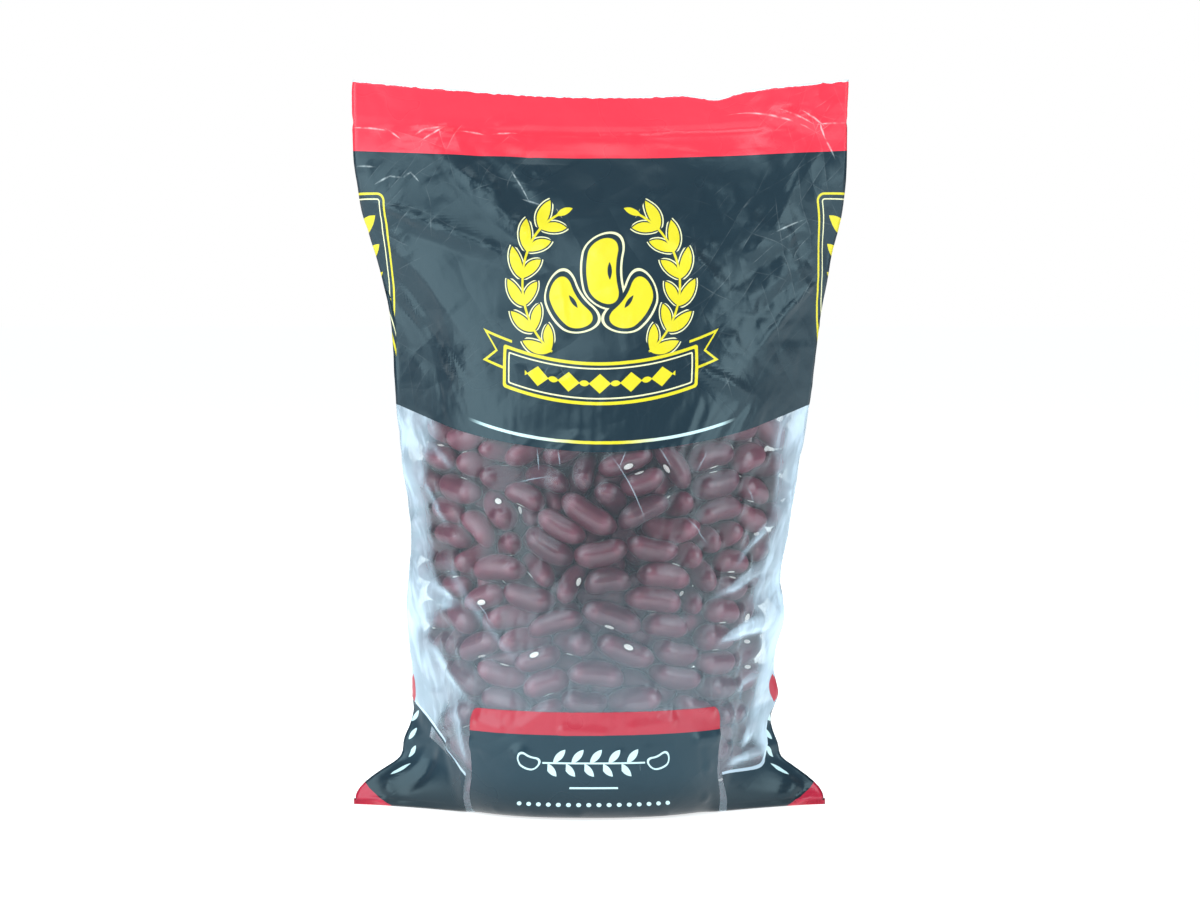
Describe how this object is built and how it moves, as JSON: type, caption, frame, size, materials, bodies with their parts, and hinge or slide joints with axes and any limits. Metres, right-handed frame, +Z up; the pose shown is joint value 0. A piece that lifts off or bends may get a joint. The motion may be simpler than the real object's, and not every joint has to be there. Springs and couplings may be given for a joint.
{
  "type": "bag of dried beans",
  "caption": "Filled pillow bag of dried red beans, standing on its folded bottom, with a flat crimped seal along its top edge and a clear window band across its front.",
  "frame": {"origin": "on the floor, at the middle of the bag's box", "axes": "+Z up towards the top seal, -Y out of the front with the large printed header, +X to the right as seen from the front"},
  "size_m": [0.1404, 0.0754, 0.2063],
  "materials": {
    "printed_film": "glossy printed packing film",
    "beans": "smooth dry bean skin with a slight sheen"
  },
  "bodies": {
    "root": {"bean_bag": "printed_film"}
  },
  "joints": []
}
